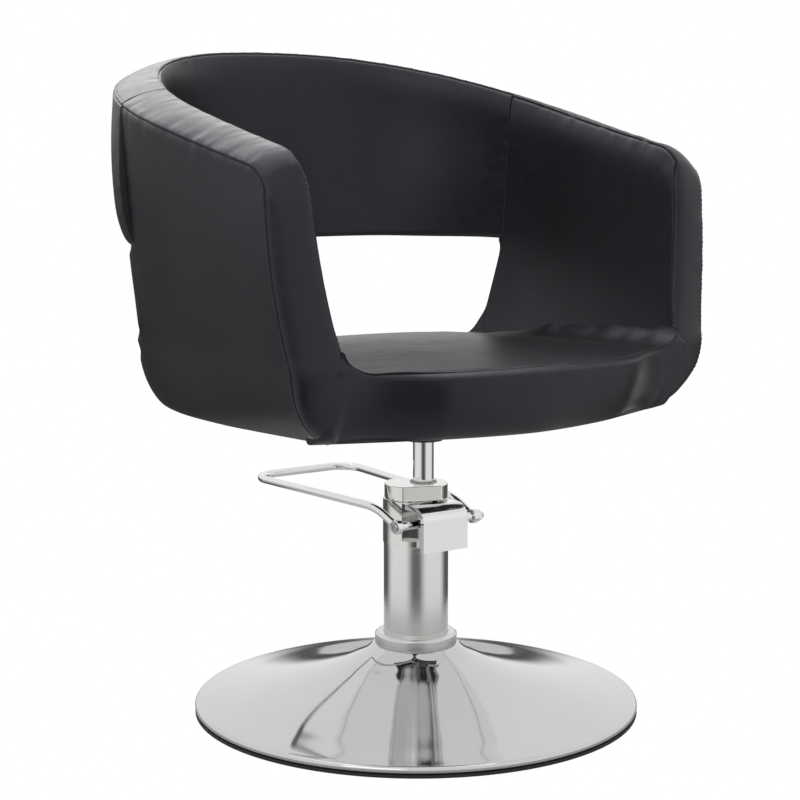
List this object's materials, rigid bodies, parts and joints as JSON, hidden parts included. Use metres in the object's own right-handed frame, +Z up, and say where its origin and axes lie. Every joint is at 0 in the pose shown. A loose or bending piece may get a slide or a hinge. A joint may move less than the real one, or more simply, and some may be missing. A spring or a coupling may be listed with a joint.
{
  "type": "salon styling chair",
  "caption": "Upholstered tub chair with an open slot through its back, which turns and rises on a foot-pumped column above a round dished base.",
  "frame": {"origin": "on the floor, at the centre of the round base", "axes": "+Z up, the sitter faces -Y, +X is on the sitter's left"},
  "size_m": [0.714, 0.752, 0.89],
  "materials": {
    "rubber": "matt black moulded rubber",
    "cast_iron": "rough cast, painted dark",
    "base_chrome": "mirror chrome plate on spun steel",
    "satin_nickel": "turned and satin plated",
    "satin_aluminium": "satin, finely turned along its height",
    "plated_casting": "bright plate over a casting",
    "bright_chrome": "bright chrome plate",
    "zinc_steel": "zinc plated steel",
    "bronze": "plain sintered bronze",
    "wiper_plastic": "off-white plastic",
    "black_steel": "black powder coat",
    "plywood": "raw birch plywood",
    "dust_cloth": "black non-woven cloth",
    "black_leatherette": "black leatherette, fine grain, soft sheen"
  },
  "bodies": {
    "base": {"floor_pad": "rubber", "base_weight": "cast_iron", "base_dish": "base_chrome", "base_collar": "satin_nickel", "pump_flange": "zinc_steel", "flange_bolts": "zinc_steel", "flange_nuts": "zinc_steel", "pump_column": "satin_aluminium", "pump_foot": "zinc_steel", "ram_cylinder": "zinc_steel", "pump_head": "plated_casting", "head_seal": "rubber", "pump_cap": "plated_casting", "ram_bush": "bronze", "ram_wiper": "wiper_plastic", "plunger_barrel": "zinc_steel", "stop_pin": "zinc_steel", "cover_box": "bright_chrome", "cover_screws": "zinc_steel"},
    "lift": {"piston": "zinc_steel", "piston_seal": "rubber"},
    "seat": {"ram_rod": "bright_chrome", "seat_hub": "black_steel", "seat_plate": "black_steel", "plate_bolts": "zinc_steel", "tee_nuts": "zinc_steel", "seat_board": "plywood", "side_panel_left": "plywood", "side_panel_right": "plywood", "back_board": "plywood", "dust_cover": "dust_cloth", "seat_pad": "black_leatherette", "front_pad": "black_leatherette", "arm_pad_left": "black_leatherette", "arm_pad_right": "black_leatherette", "back_pad": "black_leatherette"},
    "pedal": {"foot_lever": "bright_chrome", "lever_shaft": "bright_chrome", "rocker": "zinc_steel", "rocker_screw": "zinc_steel", "lever_screw": "zinc_steel", "lever_nut": "bright_chrome"},
    "plunger": {"pump_plunger": "zinc_steel", "plunger_spring": "zinc_steel"}
  },
  "joints": [
    {"name": "lift", "type": "slide", "parent": "base", "child": "lift", "axis": [0, 0, 1], "range_m": [-0.038, 0.112]},
    {"name": "swivel", "type": "hinge", "parent": "lift", "child": "seat", "pos_m": [0.012, 0, 0.3], "axis": [0, 0, 1], "continuous": true},
    {"name": "pedal", "type": "hinge", "parent": "base", "child": "pedal", "pos_m": [0, -0.045, 0.262], "axis": [1, 0, 0], "range_deg": [-24, 4], "stiffness_Nm_per_rad": 6, "springref_deg": 20.05},
    {"name": "plunger", "type": "slide", "parent": "base", "child": "plunger", "axis": [0, 0, 1], "range_m": [-0.0062, 0.0012], "deforming": ["plunger_spring"]}
  ],
  "couplings": [
    {"joint": "plunger", "follows": "pedal", "m_per_rad": 0.0132}
  ]
}
